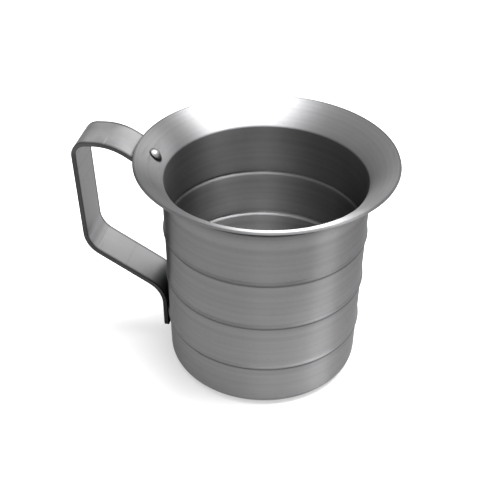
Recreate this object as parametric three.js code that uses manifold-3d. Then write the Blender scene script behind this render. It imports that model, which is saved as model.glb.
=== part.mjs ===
// A one quart candle melting pot: a spun aluminium shell with a flared mouth and three
// beads rolled into its wall, and a flat strap handle held on by a rivet at each end.
// Millimetres, +Z up. The origin is the centre of the underside, and the handle points along -X.
import * as THREE from "three";
import { mergeVertices } from "three/addons/utils/BufferGeometryUtils.js";
import Module from "manifold-3d";

const wasm = await Module();
wasm.setup();

// Shell
const sheet = 1.2; // thickness of the spun sheet
const baseRadius = 53; // outside of the wall, carried down to the underside
const wallTaper = 0.0182; // how much the radius grows for each millimetre of height
const cornerRadius = 6; // outside radius between the base and the wall
const rimRadius = 69.4; // outermost edge of the mouth
const rimHeight = 126.2; // top of the rim
const rimSlope = THREE.MathUtils.degToRad(18); // of the flare where it ends at the rim
const neckSlope = THREE.MathUtils.degToRad(58); // of the flare just above the bend at its foot
const neckBend = 2.5; // inside radius of that bend
const firstBead = 27.4; // heights of the beads: a quarter, a half and three quarters full
const beadPitch = 28.3;
const beadCount = 3;
const beadRise = 0.8;
const beadSpan = 4;
const facets = 64; // around the shell

// Handle strap
const strapWidth = 24;
const strapThickness = 2.3;
const standOff = 0.4; // between the strap's face and the shell it lies against
const tabCorner = 3; // rounding of the corners at both ends of the strap
const tabStart = THREE.MathUtils.degToRad(62); // slope of the flare where the strap begins under it
const tabSlope = THREE.MathUtils.degToRad(52); // of the strap's own upper end
const armSlope = THREE.MathUtils.degToRad(31.2); // of the arm as it passes under the rim
const armDrop = 1.8; // from the top of the rim down to the arm's upper face
const gripTop = { r: 102.5, z: 129.4 };
const gripFoot = { r: 99.5, z: 63.4 };
const archReach = 80.3; // where the arm's slope would meet the level top of the arch
const tabTop = 37.7; // height of the bend above the lower tab
const tabFoot = 12.1;
const bends = { flareTab: 12, arch: 30, gripTop: 8.6, gripFoot: 15.6, wallTab: 15.1 };

// Rivets
const shankRadius = 1.8;
const headRadius = 3.4;
const headHeight = 2.2;
const tailRadius = 2.8;
const tailHeight = 1.3;
const tailFlat = 2.1; // radius of the flat that the upsetting tool leaves on the tail
const tailShoulder = 0.8; // height of the sloping band round that flat
const rivetFacets = 20;
const drillLength = 20;
const gap = 0.3; // clearance that every cut or touching face keeps
const bentTabSlack = 0.9; // extra grip of the flare's rivet, because the tab is bent there
const flareRivetReach = 59.5; // distance from the axis to the middle of the flare's rivet
const wallRivetHeight = 18.9; // half way between the strap's lower end and the lowest bead

// The flare is a tight bend at the top of the wall and then a wide arc out to the rim. Both are
// centred outside the shell, so the upper face has the larger radius.
const lean = Math.atan(wallTaper);
const flare = flareShape();

function flareShape() {
  const start = Math.PI / 2 - lean;
  const upperRimRadius = rimRadius - sheet * Math.sin(rimSlope);
  // The wall's radius at the foot of the bend depends on the height of that foot, so both are
  // settled by repeating.
  let inside = baseRadius + wallTaper * rimHeight - sheet;
  let reach = 0;
  let radius = 0;
  let height = 0;
  for (let round = 0; round < 20; round += 1) {
    reach = inside + neckBend * Math.sin(start);
    const across = upperRimRadius - reach + neckBend * Math.sin(neckSlope);
    radius = across / (Math.sin(neckSlope) - Math.sin(rimSlope));
    const centreHeight = rimHeight - radius * Math.cos(rimSlope);
    height = centreHeight + (radius - neckBend) * Math.cos(neckSlope) + neckBend * Math.cos(start);
    inside = baseRadius + wallTaper * height - sheet / Math.cos(lean);
  }
  const bendCentre = new THREE.Vector2(reach, height - neckBend * Math.cos(start));
  const bend = { radius: neckBend, centre: bendCentre };
  const towardsArc = new THREE.Vector2(Math.sin(neckSlope), -Math.cos(neckSlope));
  const arc = { radius, centre: towardsArc.multiplyScalar(radius - neckBend).add(bend.centre) };
  return { start, bend, arc };
}

// Shapes in the half plane through the axis: x is the distance from the axis and y is the height.

function wallRadius(height) {
  let radius = baseRadius + wallTaper * height;
  for (let i = 0; i < beadCount; i += 1) {
    const fromCrest = Math.abs(height - firstBead - i * beadPitch) / (beadSpan / 2);
    if (fromCrest < 1) radius += (beadRise * (1 + Math.cos(Math.PI * fromCrest))) / 2;
  }
  return radius;
}

// The shell's outer face, from the middle of the base out and up to the rim.
function outerFace() {
  const cornerSteps = 4;
  const beadSteps = 4;
  const neckSteps = 4;
  const arcSteps = 6;
  const points = [new THREE.Vector2(0, 0)];
  const cornerCentre = wallRadius(cornerRadius) - cornerRadius;
  for (let i = 0; i <= cornerSteps; i += 1) {
    const angle = (i / cornerSteps) * (Math.PI / 2) - Math.PI / 2;
    const across = cornerRadius * Math.cos(angle);
    points.push(new THREE.Vector2(cornerCentre + across, cornerRadius * (1 + Math.sin(angle))));
  }
  for (let bead = 0; bead < beadCount; bead += 1) {
    for (let i = 0; i <= beadSteps; i += 1) {
      const height = firstBead + bead * beadPitch + (i / beadSteps - 0.5) * beadSpan;
      points.push(new THREE.Vector2(wallRadius(height), height));
    }
  }
  for (let i = 0; i < neckSteps; i += 1) {
    const slope = THREE.MathUtils.lerp(flare.start, neckSlope, i / neckSteps);
    points.push(onFlare(slope, sheet));
  }
  for (let i = 0; i <= arcSteps; i += 1) {
    const slope = THREE.MathUtils.lerp(neckSlope, rimSlope, i / arcSteps);
    points.push(onFlare(slope, sheet));
  }
  return points;
}

// The point of the flare where it has this slope, this far below its upper face.
function onFlare(slope, depth) {
  const { radius, centre } = slope > neckSlope ? flare.bend : flare.arc;
  const away = new THREE.Vector2(-Math.sin(slope), Math.cos(slope));
  return away.multiplyScalar(radius - depth).add(centre);
}

// The same line moved sideways, to the left of its direction of travel.
function offset(points, distance) {
  return points.map((point, i) => {
    const before = points[Math.max(i - 1, 0)];
    const after = points[Math.min(i + 1, points.length - 1)];
    const along = after.clone().sub(before).normalize();
    return new THREE.Vector2(point.x - along.y * distance, point.y + along.x * distance);
  });
}

// The side view of a bent strip: a line through the corners, each rounded to its bend radius,
// and the same line again one thickness to the right of it.
function bentStrip(corners, thickness) {
  const bendSteps = 8;
  const face = [];
  const back = [];
  const add = (point, heading) => {
    const inwards = new THREE.Vector2(Math.sin(heading), -Math.cos(heading));
    face.push(point);
    back.push(inwards.multiplyScalar(thickness).add(point));
  };
  const headings = corners.slice(1).map((corner, i) => corner.at.clone().sub(corners[i].at).angle());
  add(corners[0].at, headings[0]);
  for (let i = 1; i < corners.length - 1; i += 1) {
    const { at, bend } = corners[i];
    const into = headings[i - 1];
    const turn = THREE.MathUtils.euclideanModulo(headings[i] - into + Math.PI, 2 * Math.PI) - Math.PI;
    const side = Math.sign(turn);
    const reach = bend * Math.tan(Math.abs(turn) / 2);
    const centre = new THREE.Vector2(
      at.x - Math.cos(into) * reach - side * Math.sin(into) * bend,
      at.y - Math.sin(into) * reach + side * Math.cos(into) * bend,
    );
    for (let k = 0; k <= bendSteps; k += 1) {
      const heading = into + (turn * k) / bendSteps;
      const across = new THREE.Vector2(Math.sin(heading), -Math.cos(heading)).multiplyScalar(side * bend);
      add(across.add(centre), heading);
    }
  }
  add(corners.at(-1).at, headings.at(-1));
  return [...face, ...back.reverse()];
}

// Solids

function turned(profile, sides) {
  const geometry = new THREE.LatheGeometry(profile, sides);
  geometry.rotateX(Math.PI / 2);
  return geometry;
}

function toSolid(geometry) {
  const bare = geometry.clone();
  bare.deleteAttribute("normal");
  bare.deleteAttribute("uv");
  const merged = mergeVertices(bare, 1e-4);
  const corners = merged.index.array;
  const triVerts = [];
  for (let i = 0; i < corners.length; i += 3) {
    const [a, b, c] = corners.slice(i, i + 3);
    if (a !== b && b !== c && c !== a) triVerts.push(a, b, c);
  }
  return new wasm.Manifold(
    new wasm.Mesh({
      numProp: 3,
      vertProperties: new Float32Array(merged.attributes.position.array),
      triVerts: new Uint32Array(triVerts),
    }),
  );
}

function toGeometry(solid) {
  const mesh = solid.getMesh();
  const geometry = new THREE.BufferGeometry();
  geometry.setAttribute("position", new THREE.BufferAttribute(mesh.vertProperties, 3));
  geometry.setIndex(new THREE.BufferAttribute(mesh.triVerts, 1));
  geometry.computeVertexNormals();
  return geometry;
}

// Places a shape made along +Z: its own height zero goes to the place, and it leans towards +X
// by the tilt.
function placed(geometry, place) {
  return geometry.clone().rotateY(place.tilt).translate(place.x, 0, place.z);
}

// Where each rivet's head sits on the shell's inner face, its tilt, and what it clamps.
function rivetPlace(reach, height, tilt, slack) {
  return { x: -reach, z: height, tilt, grip: sheet + standOff + strapThickness + slack };
}

const flareRivetSlope = Math.asin((flare.arc.centre.x - flareRivetReach) / flare.arc.radius);
const flareRivetHeight = onFlare(flareRivetSlope, 0).y;
const wallRivetReach = wallRadius(wallRivetHeight) - sheet;
const rivetPlaces = {
  flare_rivet: rivetPlace(flareRivetReach, flareRivetHeight, flareRivetSlope, bentTabSlack),
  wall_rivet: rivetPlace(wallRivetReach, wallRivetHeight, Math.PI / 2 - lean, 0),
};

function rivetHole(place) {
  const radius = shankRadius + gap;
  const drill = new THREE.CylinderGeometry(radius, radius, drillLength, rivetFacets);
  drill.rotateX(Math.PI / 2);
  return toSolid(placed(drill, place));
}

function drilled(solid) {
  return Object.values(rivetPlaces).reduce((left, place) => left.subtract(rivetHole(place)), solid);
}

function potBody() {
  const outside = outerFace();
  const inside = offset(outside, sheet);
  return drilled(toSolid(turned([...outside, ...inside.reverse()], facets)));
}

// Everything closer to the shell than the gap, with the shell's inside filled.
function shellRoom() {
  const skin = offset(outerFace(), -gap);
  const below = new THREE.Vector2(0, -gap);
  const above = new THREE.Vector2(0, rimHeight + gap);
  return toSolid(turned([below, ...skin.slice(1), above], facets));
}

function strapCorners() {
  const start = onFlare(tabStart, sheet + standOff);
  const underRim = new THREE.Vector2(rimRadius, rimHeight - armDrop);
  // Where the tab's slope from the start meets the arm's slope through the point under the rim.
  const rise = Math.tan(armSlope);
  const apart = underRim.clone().sub(start);
  const tab = new THREE.Vector2(Math.cos(tabSlope), Math.sin(tabSlope));
  const along = (apart.y - apart.x * rise) / (tab.y - tab.x * rise);
  const knee = tab.multiplyScalar(along).add(start);
  const arch = new THREE.Vector2(archReach, underRim.y + (archReach - underRim.x) * rise);
  const tabFace = (height) => baseRadius + wallTaper * height + standOff + strapThickness;
  return [
    { at: start },
    { at: knee, bend: bends.flareTab },
    { at: arch, bend: bends.arch },
    { at: new THREE.Vector2(gripTop.r, gripTop.z), bend: bends.gripTop },
    { at: new THREE.Vector2(gripFoot.r, gripFoot.z), bend: bends.gripFoot },
    { at: new THREE.Vector2(tabFace(tabTop), tabTop), bend: bends.wallTab },
    { at: new THREE.Vector2(tabFace(tabFoot), tabFoot) },
  ];
}

// A flat plate with two corners rounded at its near end, from 0 along +Y, extruded along +Z.
function roundedEnd(length, depth) {
  const half = strapWidth / 2;
  const shape = new THREE.Shape();
  shape.moveTo(half, length);
  shape.lineTo(-half, length);
  shape.lineTo(-half, tabCorner);
  shape.absarc(-half + tabCorner, tabCorner, tabCorner, Math.PI, 1.5 * Math.PI);
  shape.lineTo(half - tabCorner, 0);
  shape.absarc(half - tabCorner, tabCorner, tabCorner, 1.5 * Math.PI, 2 * Math.PI);
  return new THREE.ExtrudeGeometry(shape, { depth, bevelEnabled: false, curveSegments: 6 });
}

function handleStrap() {
  const corners = strapCorners();
  const spare = 4; // the side view is cut from a wider strip than the finished strap
  const width = strapWidth + 2 * spare;
  const sideView = new THREE.Shape(bentStrip(corners, strapThickness));
  const strip = new THREE.ExtrudeGeometry(sideView, { depth: width, bevelEnabled: false, steps: 1 });
  strip.rotateX(Math.PI / 2);
  strip.rotateZ(Math.PI);
  strip.translate(0, -width / 2, 0);
  const reach = 2 * rimHeight; // longer than the strap in any direction
  // Seen from the end: full width, with the lower tab's corners rounded.
  const endView = roundedEnd(reach, reach);
  endView.rotateX(Math.PI / 2);
  endView.rotateZ(-Math.PI / 2);
  endView.translate(0, 0, tabFoot);
  // Seen from above: the corners of the tab under the flare rounded, clear of the lower tab.
  const topView = roundedEnd(reach, reach);
  topView.rotateZ(Math.PI / 2);
  topView.translate(-corners[0].at.x, 0, tabTop + bends.wallTab);
  const lowPart = new THREE.BoxGeometry(reach, reach, 2 * (tabTop + bends.wallTab));
  const plan = toSolid(topView).add(toSolid(lowPart));
  const strap = toSolid(strip).intersect(toSolid(endView)).intersect(plan);
  return drilled(strap.subtract(shellRoom()));
}

// A rivet along +Z: height zero is the face under its head, and the grip is what it clamps.
function rivet(grip) {
  const domeRadius = (headRadius ** 2 + headHeight ** 2) / (2 * headHeight);
  const domeHalf = Math.asin(headRadius / domeRadius);
  const domeSteps = 6;
  const seat = gap;
  const tailTop = -grip - gap;
  const profile = [
    new THREE.Vector2(0, tailTop - tailHeight),
    new THREE.Vector2(tailFlat, tailTop - tailHeight),
    new THREE.Vector2(tailRadius, tailTop - tailShoulder),
    new THREE.Vector2(tailRadius, tailTop),
    new THREE.Vector2(shankRadius, tailTop),
    new THREE.Vector2(shankRadius, seat),
  ];
  for (let i = 0; i <= domeSteps; i += 1) {
    const angle = domeHalf * (1 - i / domeSteps);
    const height = seat + headHeight - domeRadius * (1 - Math.cos(angle));
    profile.push(new THREE.Vector2(domeRadius * Math.sin(angle), height));
  }
  return turned(profile, rivetFacets);
}

const pot = new THREE.Group();

function addPiece(name, geometry, color, roughness) {
  const material = new THREE.MeshStandardMaterial({ color, roughness, metalness: 1 });
  const mesh = new THREE.Mesh(geometry, material);
  mesh.name = name;
  pot.add(mesh);
  return mesh;
}

addPiece("pot_body", toGeometry(potBody()), 0x8e8f90, 0.45);
addPiece("handle_strap", toGeometry(handleStrap()), 0xa2a3a4, 0.4);
for (const [name, place] of Object.entries(rivetPlaces)) {
  const piece = addPiece(name, rivet(place.grip), 0xb4b5b6, 0.3);
  piece.rotation.y = place.tilt;
  piece.position.set(place.x, 0, place.z);
}

export default pot;
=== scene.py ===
from math import asin, atan, cos, hypot, pi, radians, sin, sqrt, tan

import bmesh
import bpy
from mathutils import Matrix, Vector


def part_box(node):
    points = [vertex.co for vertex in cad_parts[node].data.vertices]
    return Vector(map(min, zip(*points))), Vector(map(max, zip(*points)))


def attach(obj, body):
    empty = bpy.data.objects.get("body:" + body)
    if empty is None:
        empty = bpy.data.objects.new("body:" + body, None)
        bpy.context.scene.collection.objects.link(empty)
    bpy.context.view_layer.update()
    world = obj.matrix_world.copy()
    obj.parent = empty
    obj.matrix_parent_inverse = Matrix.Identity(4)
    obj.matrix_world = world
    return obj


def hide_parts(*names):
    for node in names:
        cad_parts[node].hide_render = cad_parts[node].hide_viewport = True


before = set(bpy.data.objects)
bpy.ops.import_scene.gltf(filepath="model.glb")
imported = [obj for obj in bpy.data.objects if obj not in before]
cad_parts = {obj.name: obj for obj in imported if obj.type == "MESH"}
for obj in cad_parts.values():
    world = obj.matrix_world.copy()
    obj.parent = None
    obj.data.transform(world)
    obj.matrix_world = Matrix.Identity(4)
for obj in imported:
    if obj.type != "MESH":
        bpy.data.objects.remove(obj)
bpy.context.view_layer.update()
mm = 0.001
scene = bpy.context.scene
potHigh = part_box("pot_body")[1]
strapLow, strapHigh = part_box("handle_strap")

# camera: an orbit round a point on the pot's axis, then small turns that centre the pot in the view
camera = {
    "azimuth": 9.0,
    "elevation": 36.98,
    "distance": 0.55,
    "aimHeight": 0.055,
    "lens": 70.85,
    "pan": 0.85,    # to the left, degrees
    "tilt": 0.93,   # upwards
    "roll": 1.44,
}


def makeCamera():
    data = bpy.data.cameras.new("studioCamera")
    data.lens = camera["lens"]
    data.sensor_width = 36
    data.clip_start, data.clip_end = 0.01, 20
    eye = bpy.data.objects.new("studioCamera", data)
    scene.collection.objects.link(eye)
    scene.camera = eye
    turn = Matrix.Rotation
    orbit = turn(radians(camera["azimuth"]), 4, "Z") @ turn(radians(90 - camera["elevation"]), 4, "X")
    nudge = turn(radians(camera["pan"]), 4, "Y") @ turn(radians(camera["tilt"]), 4, "X")
    aim = Matrix.Translation((0, 0, camera["aimHeight"]))
    pull = Matrix.Translation((0, 0, camera["distance"]))
    eye.matrix_world = aim @ orbit @ pull @ nudge @ turn(radians(camera["roll"]), 4, "Z")
    print("camera set")


makeCamera()


# small tools that every piece uses

def finishPiece(name, bm, finish, slotName, *nodes):
    mesh = bpy.data.meshes.new(name)
    bm.to_mesh(mesh)
    bm.free()
    mesh.materials.append(finish)
    for face in mesh.polygons:
        face.use_smooth = True
    piece = bpy.data.objects.new(name, mesh)
    scene.collection.objects.link(piece)
    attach(piece, "root")
    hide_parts(*nodes)
    print(name, "made,", len(mesh.polygons), "faces")
    return piece


def spinProfile(bm, profile, steps):
    # one full turn of a loose line round the Z axis
    verts = [bm.verts.new((r, 0, z)) for r, z in profile]
    edges = [bm.edges.new(pair) for pair in zip(verts, verts[1:])]
    bmesh.ops.spin(
        bm, geom=verts + edges, cent=(0, 0, 0), axis=(0, 0, 1), angle=2 * pi, steps=steps, use_merge=True
    )
    bmesh.ops.remove_doubles(bm, verts=bm.verts[:], dist=0.01 * mm)
    bmesh.ops.recalc_face_normals(bm, faces=bm.faces[:])


def faceTowards(bm, direction):
    # turns an open sheet over if its outermost face in this direction looks the other way
    bmesh.ops.recalc_face_normals(bm, faces=bm.faces[:])
    outermost = max(bm.faces, key=lambda f: f.calc_center_median().dot(direction))
    if outermost.normal.dot(direction) < 0:
        bmesh.ops.reverse_faces(bm, faces=bm.faces[:])


def limit(value):
    return min(max(value, 0), 1)


def softenEdges(bm, radius, sharpness=60):
    # a small rolled edge wherever two faces meet at more than this angle
    sharp = [e for e in bm.edges if len(e.link_faces) == 2 and e.calc_face_angle() > radians(sharpness)]
    bmesh.ops.bevel(
        bm, geom=sharp, offset=radius, offset_type="OFFSET", segments=3, profile=0.5,
        affect="EDGES", material=-1, clamp_overlap=True,
    )


# node helpers

def addNode(tree, kind, settings=None, **values):
    node = tree.nodes.new(kind)
    for key, value in (settings or {}).items():
        setattr(node, key, value)
    for key, value in values.items():
        node.inputs[key].default_value = value
    return node


def feed(tree, socket, value):
    # a socket takes either a link or a fixed value
    if isinstance(value, bpy.types.NodeSocket):
        tree.links.new(value, socket)
    else:
        socket.default_value = value


def wire(tree, *pairs):
    for source, target in pairs:
        tree.links.new(source, target)


def maths(tree, operation, *values):
    node = addNode(tree, "ShaderNodeMath", {"operation": operation})
    for socket, value in zip(node.inputs, values):
        feed(tree, socket, value)
    return node.outputs[0]


def average(tree, first, second):
    return maths(tree, "ADD", maths(tree, "MULTIPLY", first, 0.5), maths(tree, "MULTIPLY", second, 0.5))


def mixTones(tree, dark, light, share):
    # the mix node has sockets for every kind of value: inputs 6 and 7 and output 2 are its colours
    node = addNode(tree, "ShaderNodeMix", {"data_type": "RGBA"})
    for socket, value in ((0, share), (6, dark), (7, light)):
        feed(tree, node.inputs[socket], value)
    return node.outputs[2]


def newGroup(name, inputs, outputs, outputKind="NodeSocketFloat"):
    tree = bpy.data.node_groups.new(name, "ShaderNodeTree")
    for label, value in inputs.items():
        kind = "NodeSocketFloat" if isinstance(value, float) else "NodeSocketColor"
        socket = tree.interface.new_socket(name=label, in_out="INPUT", socket_type=kind)
        socket.default_value = value
    for label in outputs:
        tree.interface.new_socket(name=label, in_out="OUTPUT", socket_type=outputKind)
    return tree, tree.nodes.new("NodeGroupInput").outputs, tree.nodes.new("NodeGroupOutput").inputs


def placeGroup(tree, group, **values):
    node = tree.nodes.new("ShaderNodeGroup")
    node.node_tree = group
    for key, value in values.items():
        feed(tree, node.inputs[key], value)
    return node.outputs


def noise(tree, vector, scale, detail=2.0, roughness=0.5):
    node = addNode(tree, "ShaderNodeTexNoise", Detail=detail, Roughness=roughness)
    feed(tree, node.inputs["Vector"], vector)
    feed(tree, node.inputs["Scale"], scale)
    return node.outputs["Fac"]


def rampBetween(tree, value, low, high, toLow=0.0, toHigh=1.0):
    node = addNode(tree, "ShaderNodeMapRange", {"interpolation_type": "SMOOTHSTEP"})
    wire(tree, (value, node.inputs["Value"]))
    for label, number in (("From Min", low), ("From Max", high), ("To Min", toLow), ("To Max", toHigh)):
        node.inputs[label].default_value = number
    return node.outputs["Result"]


# handling marks: smudges, and short fine scratches in all directions
handling = {
    "smudgeScale": 28.0,
    "scratches": ((0.4, 900.0), (1.9, 1100.0)),    # each layer's turn and scale
    "scratchStretch": 0.02,
    "scratchFrom": 0.74,       # only the peaks of the noise become scratches
    "scratchFull": 0.8,
}


def makeHandling():
    tree, given, out = newGroup("handlingMarks", {"Size": 1.0}, ["Smudge", "Scratch"])
    place = tree.nodes.new("ShaderNodeTexCoord").outputs["Object"]
    smudgeScale = maths(tree, "MULTIPLY", given["Size"], handling["smudgeScale"])
    wire(tree, (noise(tree, place, smudgeScale, 3.0, 0.6), out["Smudge"]))
    stretch = (1.0, handling["scratchStretch"], 1.0)
    lines = []
    for turn, scale in handling["scratches"]:
        lay = addNode(tree, "ShaderNodeMapping", Rotation=(turn, 0.3 * turn, turn * 1.7), Scale=stretch)
        wire(tree, (place, lay.inputs["Vector"]))
        strokes = noise(tree, lay.outputs["Vector"], scale, 0.0)
        lines.append(rampBetween(tree, strokes, handling["scratchFrom"], handling["scratchFull"]))
    wire(tree, (maths(tree, "MAXIMUM", *lines), out["Scratch"]))
    return tree


# rings left by the spinning tool: they run round the axis, whatever the slope of the sheet
ringNoise = {"Height": (2600.0, 2.0), "Tone": (330.0, 3.0)}    # scale and detail of each output


def makeSpunRings():
    tree, given, out = newGroup("spunRings", {"Fineness": 1.0}, list(ringNoise))
    place = tree.nodes.new("ShaderNodeTexCoord").outputs["Object"]
    apart = tree.nodes.new("ShaderNodeSeparateXYZ")
    wire(tree, (place, apart.inputs[0]))
    x, y, z = apart.outputs
    squares = maths(tree, "ADD", maths(tree, "MULTIPLY", x, x), maths(tree, "MULTIPLY", y, y))
    reach = maths(tree, "SQRT", squares)
    along = maths(tree, "MULTIPLY", maths(tree, "ADD", reach, z), given["Fineness"])
    for label, (scale, detail) in ringNoise.items():
        ring = addNode(tree, "ShaderNodeTexNoise", {"noise_dimensions": "1D"}, Scale=scale, Detail=detail)
        wire(tree, (along, ring.inputs["W"]), (ring.outputs["Fac"], out[label]))
    return tree


# metal with painted light and shade: a tone between dark and light, scaled by the painted light and shade
# stored on the mesh and by a painted shadow
def makePaintedShadeMetal():
    white = (1.0, 1.0, 1.0, 1.0)
    takes = {"Dark": white, "Light": white, "Share": 0.5, "Grime": 1.0}
    tree, given, out = newGroup("paintedShadeMetal", takes, ["Tone"], "NodeSocketColor")
    shade = addNode(tree, "ShaderNodeAttribute", {"attribute_name": "shade"}).outputs["Fac"]
    worn = addNode(tree, "ShaderNodeVectorMath", {"operation": "SCALE"})
    feed(tree, worn.inputs[0], mixTones(tree, given["Dark"], given["Light"], given["Share"]))
    feed(tree, worn.inputs["Scale"], maths(tree, "MULTIPLY", shade, given["Grime"]))
    wire(tree, (worn.outputs[0], out["Tone"]))
    return tree


handlingMarks = makeHandling()
spunRings = makeSpunRings()
paintedShadeMetal = makePaintedShadeMetal()


def newFinish(name):
    finish = bpy.data.materials.new(name)
    finish.use_nodes = True
    tree = finish.node_tree
    shader = tree.nodes["Principled BSDF"]
    shader.inputs["Metallic"].default_value = 1.0
    shader.inputs["Specular Tint"].default_value = (0.3, 0.3, 0.3, 1)   # dull towards the outline
    return finish, tree, shader.inputs


def wornRoughness(tree, marks, look):
    rough = maths(tree, "MULTIPLY_ADD", marks["Smudge"], look["smudgeRough"], look["leastRough"])
    return maths(tree, "MULTIPLY_ADD", marks["Scratch"], look["scratchRough"], rough)


# spun sheet: satin grey, with painted shade stored on the mesh that darkens it inside the bore
spunLook = {
    "light": (0.30, 0.30, 0.305, 1),
    "dark": (0.26, 0.26, 0.265, 1),
    "patches": (0.3, 0.7),     # the noise that makes the dark and the light tone
    "leastRough": 0.4,
    "smudgeRough": 0.16,
    "scratchRough": 0.08,
    "ringDepth": 0.02 * mm,
    "waveDepth": 0.06 * mm,
    "waveScale": 45.0,
    "rivetShadowShift": (1 * mm, -1.2 * mm, 0),    # painted shadow round the rivet head, a little off its middle
    "rivetShadowReach": (3.7 * mm, 4.8 * mm),
    "rivetShadowTone": 0.08,
}


def spunFinish(rivetAt):
    finish, tree, skin = newFinish("spun aluminium")
    place = tree.nodes.new("ShaderNodeTexCoord").outputs["Object"]
    rings = placeGroup(tree, spunRings)
    marks = placeGroup(tree, handlingMarks)
    # a painted shadow round the rivet head, shifted off its middle
    rivetDistance = addNode(tree, "ShaderNodeVectorMath", {"operation": "DISTANCE"})
    rivetDistance.inputs[1].default_value = rivetAt + Vector(spunLook["rivetShadowShift"])
    wire(tree, (place, rivetDistance.inputs[0]))
    rivetShadow = rampBetween(tree, rivetDistance.outputs["Value"], *spunLook["rivetShadowReach"], spunLook["rivetShadowTone"], 1.0)
    share = rampBetween(tree, average(tree, rings["Tone"], marks["Smudge"]), *spunLook["patches"])
    tone = placeGroup(
        tree, paintedShadeMetal, Dark=spunLook["dark"], Light=spunLook["light"], Share=share, Grime=rivetShadow
    )["Tone"]
    wire(tree, (tone, skin["Base Color"]), (wornRoughness(tree, marks, spunLook), skin["Roughness"]))
    ringBump = addNode(tree, "ShaderNodeBump", Distance=spunLook["ringDepth"], Strength=1.0)
    waveBump = addNode(tree, "ShaderNodeBump", Distance=spunLook["waveDepth"], Strength=1.0)
    wire(
        tree,
        (noise(tree, place, spunLook["waveScale"], 1.0), waveBump.inputs["Height"]),
        (waveBump.outputs[0], ringBump.inputs["Normal"]),
        (rings["Height"], ringBump.inputs["Height"]),
        (ringBump.outputs[0], skin["Normal"]),
    )
    # the grooves run round the axis, so gloss spreads across them
    skin["Anisotropic"].default_value = 0.95
    skin["Anisotropic Rotation"].default_value = 0.25
    apart = tree.nodes.new("ShaderNodeSeparateXYZ")
    aroundAxis = tree.nodes.new("ShaderNodeCombineXYZ")
    wire(
        tree,
        (place, apart.inputs[0]),
        (maths(tree, "MULTIPLY", apart.outputs[1], -1.0), aroundAxis.inputs[0]),
        (apart.outputs[0], aroundAxis.inputs[1]),
        (aroundAxis.outputs[0], skin["Tangent"]),
    )
    return finish


# strip stock: fine grain along the strip; painted shade on the sheared edges comes from the shade stored on
# the mesh
stripLook = {
    "light": (0.27, 0.27, 0.274, 1),
    "dark": (0.23, 0.23, 0.234, 1),
    "patches": (0.35, 0.65),
    "leastRough": 0.3,
    "smudgeRough": 0.2,
    "scratchRough": 0.1,
    "grainDepth": 0.015 * mm,
    "grainStretch": (30.0, 3200.0, 1.0),
    "markSize": 1.4,
}


def stripFinish():
    finish, tree, skin = newFinish("strip aluminium")
    sheetPlace = addNode(tree, "ShaderNodeUVMap", {"uv_map": "strip"}).outputs["UV"]
    stretch = addNode(tree, "ShaderNodeMapping", Scale=stripLook["grainStretch"])
    wire(tree, (sheetPlace, stretch.inputs["Vector"]))
    grain = noise(tree, stretch.outputs["Vector"], 1.0, 3.0, 0.6)
    marks = placeGroup(tree, handlingMarks, Size=stripLook["markSize"])
    share = rampBetween(tree, average(tree, grain, marks["Smudge"]), *stripLook["patches"])
    tone = placeGroup(tree, paintedShadeMetal, Dark=stripLook["dark"], Light=stripLook["light"], Share=share)["Tone"]
    wire(tree, (tone, skin["Base Color"]), (wornRoughness(tree, marks, stripLook), skin["Roughness"]))
    bump = addNode(tree, "ShaderNodeBump", Distance=stripLook["grainDepth"], Strength=1.0)
    wire(tree, (grain, bump.inputs["Height"]), (bump.outputs[0], skin["Normal"]))
    return finish


rivetLook = {
    "light": (0.28, 0.28, 0.285, 1),
    "dark": (0.18, 0.18, 0.185, 1),
    "leastRough": 0.35,
    "smudgeRough": 0.15,
    "scratchRough": 0.0,
    "dentDepth": 0.03 * mm,
    "markSize": 6.0,
}


def rivetFinish():
    finish, tree, skin = newFinish("rivet aluminium")
    marks = placeGroup(tree, handlingMarks, Size=rivetLook["markSize"])
    tone = mixTones(tree, rivetLook["dark"], rivetLook["light"], marks["Smudge"])
    wire(tree, (tone, skin["Base Color"]), (wornRoughness(tree, marks, rivetLook), skin["Roughness"]))
    bump = addNode(tree, "ShaderNodeBump", Distance=rivetLook["dentDepth"], Strength=1.0)
    wire(tree, (marks["Smudge"], bump.inputs["Height"]), (bump.outputs[0], skin["Normal"]))
    return finish


# shell: the outside face as a line, spun once round, then thickened inwards
shell = {
    "sheet": 1.2 * mm,
    "baseRadius": 53 * mm,     # outside of the wall, carried down to the underside
    "taper": 0.0182,
    "corner": 6 * mm,
    "neckBend": 2.5 * mm,      # inside radius where the wall turns out into the flare
    "neckSlope": radians(58),  # of the flare where that bend ends
    "rimSlope": radians(18),
    "firstBead": 27.4 * mm,
    "beadPitch": 28.3 * mm,
    "beads": 3,
    "beadRise": 0.8 * mm,
    "beadSpan": 4 * mm,
    "turns": 224,
    "edgeRound": 0.4 * mm,
    "dimple": 0.25 * mm,       # how far the flare is drawn in round its rivet
    "dimpleReach": 5 * mm,
    "dimpleFall": 2.7,         # how steeply that fades out
}


def flareShape():
    # above the wall a tight bend and then a wide arc, both centred outside the shell
    lean = atan(shell["taper"])
    start, neck, rim = pi / 2 - lean, shell["neckSlope"], shell["rimSlope"]
    tight = shell["neckBend"]
    upperRim = potHigh.x - shell["sheet"] * sin(rim)
    inside = shell["baseRadius"]
    # the wall's radius depends on the height of the bend, so both are settled by repeating
    for _ in range(20):
        reach = inside + tight * sin(start)
        wide = (upperRim - reach + tight * sin(neck)) / (sin(neck) - sin(rim))
        height = potHigh.z + tight * cos(start) + (wide - tight) * cos(neck) - wide * cos(rim)
        inside = shell["baseRadius"] + shell["taper"] * height - shell["sheet"] / cos(lean)
    bend = Vector((reach, height - tight * cos(start)))
    arc = bend + (wide - tight) * Vector((sin(neck), -cos(neck)))
    return {"start": start, "height": height, "bend": bend, "tight": tight, "arc": arc, "wide": wide}


flare = flareShape()


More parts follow.
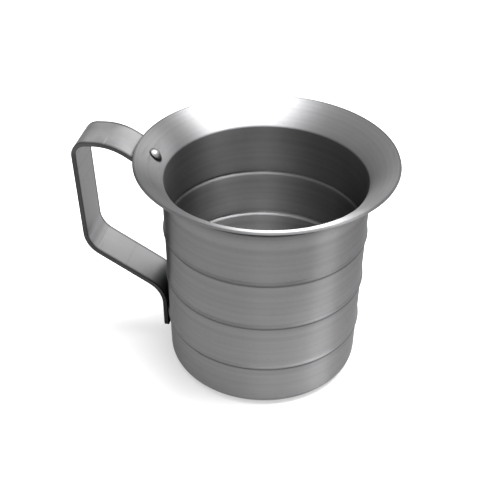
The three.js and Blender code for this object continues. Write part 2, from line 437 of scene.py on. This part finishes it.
def onFlare(slope, depth=0.0):
    # the point of the flare where it has this slope, this far below its upper face
    part, size = ("bend", "tight") if slope > shell["neckSlope"] else ("arc", "wide")
    return flare[part] + (flare[size] - depth) * Vector((-sin(slope), cos(slope)))


def beadAt(height):
    # 1 on the crest of a bead, 0 away from it
    nearest = round((height - shell["firstBead"]) / shell["beadPitch"])
    crest = shell["firstBead"] + min(max(nearest, 0), shell["beads"] - 1) * shell["beadPitch"]
    away = limit(abs(height - crest) / (shell["beadSpan"] / 2))
    return (1 + cos(pi * away)) / 2


def wallRadius(height):
    return shell["baseRadius"] + shell["taper"] * height + shell["beadRise"] * beadAt(height)


def shellOutline():
    corner, span = shell["corner"], shell["beadSpan"]
    baseEdge = wallRadius(corner) - corner
    line = [(baseEdge * i / 8, 0) for i in range(8)]
    quarter = [pi / 2 * i / 10 for i in range(11)]
    line += [(baseEdge + corner * sin(a), corner * (1 - cos(a))) for a in quarter]
    stops = [corner]
    for bead in range(shell["beads"]):
        crest = shell["firstBead"] + bead * shell["beadPitch"]
        stops += [crest - span / 2, crest + span / 2]
    stops.append(flare["height"])
    for i, (low, high) in enumerate(zip(stops, stops[1:])):
        steps = 14 if i % 2 else 6      # every other stretch is a bead
        line += [(wallRadius(z), z) for z in (low + (high - low) * k / steps for k in range(1, steps))]
        line.append((wallRadius(high), high))
    arcs = ((flare["start"], shell["neckSlope"], 16), (shell["neckSlope"], shell["rimSlope"], 14))
    for first, last, steps in arcs:
        line += [onFlare(first + (last - first) * i / steps, shell["sheet"]) for i in range(1, steps + 1)]
    return line


# painted light and shade: how light the metal is painted, against its usual tone
shellPaintedShading = {
    "wallTop": 0.66,     # painted shade, darker towards the top
    "wallFoot": 0.82,
    "flare": 1.2,        # painted light on the flare's upper face
    "boreTop": 0.41,     # painted shade inside the bore, darkest at the top
    "boreFoot": 0.95,
    "grooves": 1.9,      # painted highlight along the grooves, inside
    "neckRoot": 1.35,    # painted highlight just below the flare, outside
    # painted highlight on the upper side of each bead
    "crests": 1.1,
    "underBeads": 0.45,  # painted shade on the lower side of each bead
    "underFlare": 0.12,
    "grooveFade": 1.9,   # how quickly the grooves brighten on the way down
    "grooveWidth": 1.3,
    "rootReach": 7,      # of the bright band below the flare, in millimetres
    "rootFade": 5,
    "flareFrom": (0.2 * mm, 1.2 * mm),    # the painted shade under the flare: where it starts, and its fade
    "rimClear": (3 * mm, 6 * mm),         # and where it ends before the rim
    "outerLean": 0.2,    # a face that looks this little downwards still counts as outside
}


def blend(low, high, share):
    return low + (high - low) * limit(share)


# painted light and shade inside: painted shade in the bore, painted highlights in the grooves, painted light
# on the flare
def shadeInside(height):
    bore = blend(shellPaintedShading["boreFoot"], shellPaintedShading["boreTop"], height / flare["height"])
    bright = shellPaintedShading["grooves"] * limit(shellPaintedShading["grooveFade"] * (1 - height / flare["height"]))
    bore = blend(bore, bright, shellPaintedShading["grooveWidth"] * beadAt(height))
    bendHeight = onFlare(shell["neckSlope"]).y - flare["height"]
    return blend(bore, shellPaintedShading["flare"], (height - flare["height"]) / bendHeight)


# painted light and shade outside: darker towards the top, painted highlight and shade on the beads, painted
# highlight below the flare, painted shade under it
def shadeOutside(at):
    tone = blend(shellPaintedShading["wallFoot"], shellPaintedShading["wallTop"], at.z / flare["height"])
    quarter = 0.25 * shell["beadSpan"]
    tone *= blend(1, shellPaintedShading["crests"], 2 * beadAt(at.z - quarter) * beadAt(at.z))
    tone *= blend(1, shellPaintedShading["underBeads"], 2 * beadAt(at.z + quarter) * beadAt(at.z))
    below = (flare["height"] - at.z) / (1 * mm)
    tone *= blend(1, shellPaintedShading["neckRoot"], min(below, (shellPaintedShading["rootReach"] - below) / shellPaintedShading["rootFade"]))
    start, fade = shellPaintedShading["flareFrom"]
    above = limit((at.z - flare["height"] + start) / fade)
    clear, rimFade = shellPaintedShading["rimClear"]
    within = limit((potHigh.x - clear - hypot(at.x, at.y)) / rimFade)
    return blend(tone, shellPaintedShading["underFlare"], above * within)


def makeShell(finish, rivetAt, rivetAxis):
    bm = bmesh.new()
    spinProfile(bm, shellOutline(), shell["turns"])
    for v in bm.verts:
        away = (v.co - rivetAt).length / shell["dimpleReach"]
        if away < 2 and v.co.z > flare["height"]:
            v.co -= rivetAxis * shell["dimple"] * shell["dimpleFall"] ** (-2 * away * away)
    faceTowards(bm, Vector((0, 0, -1)))
    bmesh.ops.solidify(bm, geom=bm.faces[:], thickness=shell["sheet"])
    bm.normal_update()
    # the painted light and shade, stored on the mesh for the material
    shade = bm.verts.layers.float.new("shade")
    for v in bm.verts:
        outwards = Vector((v.co.x, v.co.y, 0)).normalized() - Vector((0, 0, shellPaintedShading["outerLean"]))
        v[shade] = shadeOutside(v.co) if v.normal.dot(outwards) > 0 else shadeInside(v.co.z)
    softenEdges(bm, shell["edgeRound"])
    return finishPiece("spun_shell", bm, finish, "spun_shell", "pot_body")


# handle: a flat strip bent along a line in the plane Y = 0, seen from the side as (reach, height)
strap = {
    "thickness": 2.3 * mm,
    "standOff": 0.4 * mm,
    "tabStart": radians(62),   # slope of the flare where the strap begins under it
    "tabSlope": radians(52),
    "armSlope": radians(31.2),
    "armDrop": 1.8 * mm,       # from the top of the rim down to the arm's upper face
    "archReach": 80.3 * mm,
    "gripTop": (102.5 * mm, 129.4 * mm),
    "gripFoot": (99.5 * mm, 63.4 * mm),
    "tabTop": 37.7 * mm,
    "bends": (12 * mm, 30 * mm, 8.6 * mm, 15.6 * mm, 15.1 * mm),
    "tabCorner": 3 * mm,
    "edgeRound": 0.5 * mm,
}


# its painted light and shade, and each zone's start and fade: painted shade on the grip, the foot and the
# sheared edges, painted light on the top of the arch
strapPaintedShading = {
    "held": 0.92,
    "heldBeyond": (88 * mm, 6 * mm),
    "heldBelow": (124 * mm, 6 * mm),
    "arch": 1.4,
    "archBeyond": (84 * mm, 6 * mm),
    "archAbove": (121 * mm, 4 * mm),
    "foot": 0.6,
    "footBelow": (34 * mm, 8 * mm),
    "sheared": 0.15,
    "shearedBand": (0.5 * mm, 0.3 * mm),    # in from each long edge
}


def beyond(value, zone):
    return limit((value - zone[0]) / zone[1])


def shadeStrap(at, half):
    reach, height = -at.x, at.z
    lowEnough = limit((strapPaintedShading["heldBelow"][0] - height) / strapPaintedShading["heldBelow"][1])
    grip = beyond(reach, strapPaintedShading["heldBeyond"]) * lowEnough
    arch = beyond(reach, strapPaintedShading["archBeyond"]) * beyond(height, strapPaintedShading["archAbove"])
    tone = blend(1, strapPaintedShading["held"], grip) * blend(1, strapPaintedShading["arch"], arch)
    tone *= blend(strapPaintedShading["foot"], 1, beyond(height, strapPaintedShading["footBelow"]))
    inset, fade = strapPaintedShading["shearedBand"]
    return tone * blend(1, strapPaintedShading["sheared"], (abs(at.y) - half + inset) / fade)


def strapCorners():
    start = onFlare(strap["tabStart"], shell["sheet"] + strap["standOff"])
    underRim = Vector((potHigh.x, potHigh.z - strap["armDrop"]))
    rise = tan(strap["armSlope"])
    apart = underRim - start
    tab = Vector((cos(strap["tabSlope"]), sin(strap["tabSlope"])))
    knee = start + tab * (apart.y - apart.x * rise) / (tab.y - tab.x * rise)
    arch = Vector((strap["archReach"], underRim.y + (strap["archReach"] - underRim.x) * rise))
    ends = []
    for height in (strap["tabTop"], strapLow.z):
        face = shell["baseRadius"] + shell["taper"] * height + strap["standOff"] + strap["thickness"]
        ends.append(Vector((face, height)))
    return [start, knee, arch, Vector(strap["gripTop"]), Vector(strap["gripFoot"]), *ends]


def bentLine(corners, bends):
    # the corners joined by straight lines, each inner corner rounded to its bend
    line = [corners[0]]
    for before, at, after, bend in zip(corners, corners[1:], corners[2:], bends):
        into, out = (at - before).normalized(), (after - at).normalized()
        turn = into.angle_signed(out)       # clockwise is positive
        side = 1 if turn > 0 else -1
        start = at - into * bend * tan(abs(turn) / 2)
        centre = start + Vector((into.y, -into.x)) * side * bend
        arm = start - centre
        for i in range(13):
            a = -turn * i / 12
            line.append(centre + Vector((arm.x * cos(a) - arm.y * sin(a), arm.x * sin(a) + arm.y * cos(a))))
    return line + [corners[-1]]


def pointAlong(line, distance):
    for a, b in zip(line, line[1:]):
        step = (b - a).length
        if distance <= step or b is line[-1]:
            return a + (b - a) * (distance / step)
        distance -= step


def makeStrap(finish):
    line = bentLine(strapCorners(), strap["bends"])
    length = sum((b - a).length for a, b in zip(line, line[1:]))
    corner, half = strap["tabCorner"], strapHigh.y
    nearEnd = [corner * (1 - cos(pi / 2 * i / 6)) for i in range(6)]
    middle = 120
    stations = nearEnd + [corner + (length - 2 * corner) * i / middle for i in range(middle + 1)]
    stations += [length - s for s in reversed(nearEnd)]
    bm = bmesh.new()
    across = 12
    bmesh.ops.create_grid(bm, x_segments=len(stations) - 1, y_segments=across, size=1.0)
    along = bm.loops.layers.uv.new("strip")
    shape = {}
    for v in bm.verts:
        station = stations[round((v.co.x + 1) / 2 * (len(stations) - 1))]
        short = corner - min(station, length - station, corner)
        wide = half - corner + sqrt(corner * corner - short * short)
        at = pointAlong(line, station)
        v.co = (-at.x, v.co.y * wide, at.y)
        shape[v] = station
    for face in bm.faces:
        for loop in face.loops:
            loop[along].uv = (shape[loop.vert], loop.vert.co.y)
    faceTowards(bm, Vector((0, 0, 1)))
    bmesh.ops.solidify(bm, geom=bm.faces[:], thickness=strap["thickness"])
    softenEdges(bm, strap["edgeRound"])
    # the painted light and shade, stored on the mesh for the material
    shade = bm.verts.layers.float.new("shade")
    for v in bm.verts:
        v[shade] = shadeStrap(v.co, half)
    return finishPiece("bent_strap", bm, finish, "strap", "handle_strap")


# rivets: a dome on the pot's side, a shank, and a flatter upset tail on the strap's side
rivet = {
    "shank": 1.8 * mm,
    "head": 3.4 * mm,
    "headHeight": 2.2 * mm,
    "tail": 2.8 * mm,
    "tailHeight": 1.3 * mm,
    "flareReach": 59.5 * mm,
    "wallHeight": 18.9 * mm,
    "flareGrip": 4.8 * mm,
    "wallGrip": 3.9 * mm,
    "seat": 0.8,               # the share of the flare's dimple that the head sinks into
}


def rivetOutline(grip):
    head, rise, tail, drop = rivet["head"], rivet["headHeight"], rivet["tail"], rivet["tailHeight"]
    dome = (head * head + rise * rise) / (2 * rise)
    half = asin(head / dome)
    low = -grip - drop
    line = [(0, low), (0.5 * tail, low), (0.85 * tail, low + 0.12 * drop), (tail, low + 0.45 * drop)]
    line += [(0.97 * tail, -grip), (rivet["shank"], -grip), (rivet["shank"], 0), (0.96 * head, 0)]
    for i in range(13):
        a = half * (1 - i / 12)
        line.append((dome * sin(a), rise - dome * (1 - cos(a)) + (0.1 * mm if i == 0 else 0)))
    return line


def makeRivet(name, node, grip, at, tilt, finish):
    bm = bmesh.new()
    spinProfile(bm, rivetOutline(grip), 40)
    stand = Matrix.Translation(at) @ Matrix.Rotation(tilt, 4, "Y")
    bmesh.ops.transform(bm, matrix=stand, verts=bm.verts[:])
    return finishPiece(name, bm, finish, "rivets", node)


def makePot():
    lean = atan(shell["taper"])
    slope = asin((flare["arc"].x - rivet["flareReach"]) / flare["wide"])
    reach, height = onFlare(slope)
    flareAt = Vector((-reach, 0, height))
    flareAxis = Vector((sin(slope), 0, cos(slope)))
    wallAt = Vector((-(wallRadius(rivet["wallHeight"]) - shell["sheet"]), 0, rivet["wallHeight"]))
    makeShell(spunFinish(flareAt), flareAt, flareAxis)
    makeStrap(stripFinish())
    bright = rivetFinish()
    seat = flareAt - flareAxis * shell["dimple"] * rivet["seat"]
    makeRivet("flare_rivet_head", "flare_rivet", rivet["flareGrip"], seat, slope, bright)
    makeRivet("wall_rivet_head", "wall_rivet", rivet["wallGrip"], wallAt, pi / 2 - lean, bright)


makePot()


# studio: the floor is a lit table, so shadows stay faint
studio = {
    "floorTone": 0.55,
    "floorGlow": 0.42,
    "floorRough": 0.9,
    "floorShine": 0.1,
    "floorDrop": 0.2 * mm,     # keeps it clear of the pot's underside
    "air": 0.75,
}


def makeFloor():
    bm = bmesh.new()
    bmesh.ops.create_grid(bm, x_segments=4, y_segments=4, size=4.0)
    mesh = bpy.data.meshes.new("studio_floor")
    bm.to_mesh(mesh)
    bm.free()
    floor = bpy.data.objects.new("studio_floor", mesh)
    scene.collection.objects.link(floor)
    finish = bpy.data.materials.new("pale floor")
    finish.use_nodes = True
    skin = finish.node_tree.nodes["Principled BSDF"].inputs
    tone = studio["floorTone"]
    skin["Base Color"].default_value = (tone, tone, tone, 1)
    skin["Emission Color"].default_value = (1, 1, 1, 1)
    skin["Emission Strength"].default_value = studio["floorGlow"]
    skin["Roughness"].default_value = studio["floorRough"]
    skin["Specular IOR Level"].default_value = studio["floorShine"]
    mesh.materials.append(finish)
    floor.location.z = -studio["floorDrop"]


# soft lights, placed as seen from the camera: how far to its right, towards it and up from the pot
lights = {
    "softboxTop": {"place": (0.21, -0.05, 1.14), "size": (0.86, 0.7), "watts": 41},
    "cardRight": {"place": (1.03, 0.5, 0.15), "size": (0.5, 0.5), "watts": 2.7},
    "cardFront": {"place": (0.05, 0.85, 1.05), "size": (0.4, 0.5), "watts": 1.2},
    "cardBack": {"place": (0.65, -0.95, 0.5), "size": (0.9, 0.8), "watts": 4},
}


def makeLights():
    turned = Matrix.Rotation(radians(camera["azimuth"]), 3, "Z")
    for name, spec in lights.items():
        data = bpy.data.lights.new(name, "AREA")
        data.shape = "RECTANGLE"
        data.size, data.size_y = spec["size"]
        data.energy = spec["watts"]
        lamp = bpy.data.objects.new(name, data)
        scene.collection.objects.link(lamp)
        right, towards, up = spec["place"]
        away = turned @ Vector((right, -towards, up))
        across = (turned @ Vector((towards + up, right, 0))).normalized()
        side = away.normalized()
        across = (across - side * across.dot(side)).normalized()
        facing = Matrix((across, side.cross(across), side)).transposed().to_4x4()
        lamp.matrix_world = Matrix.Translation(away + Vector((0, 0, camera["aimHeight"]))) @ facing
    world = bpy.data.worlds.new("studio air")
    world.use_nodes = True
    sky = world.node_tree.nodes["Background"].inputs
    sky["Color"].default_value = (1, 1, 1, 1)
    sky["Strength"].default_value = studio["air"]
    scene.world = world
    scene.view_settings.view_transform = "Standard"
    print("floor and lights set")


makeFloor()
makeLights()
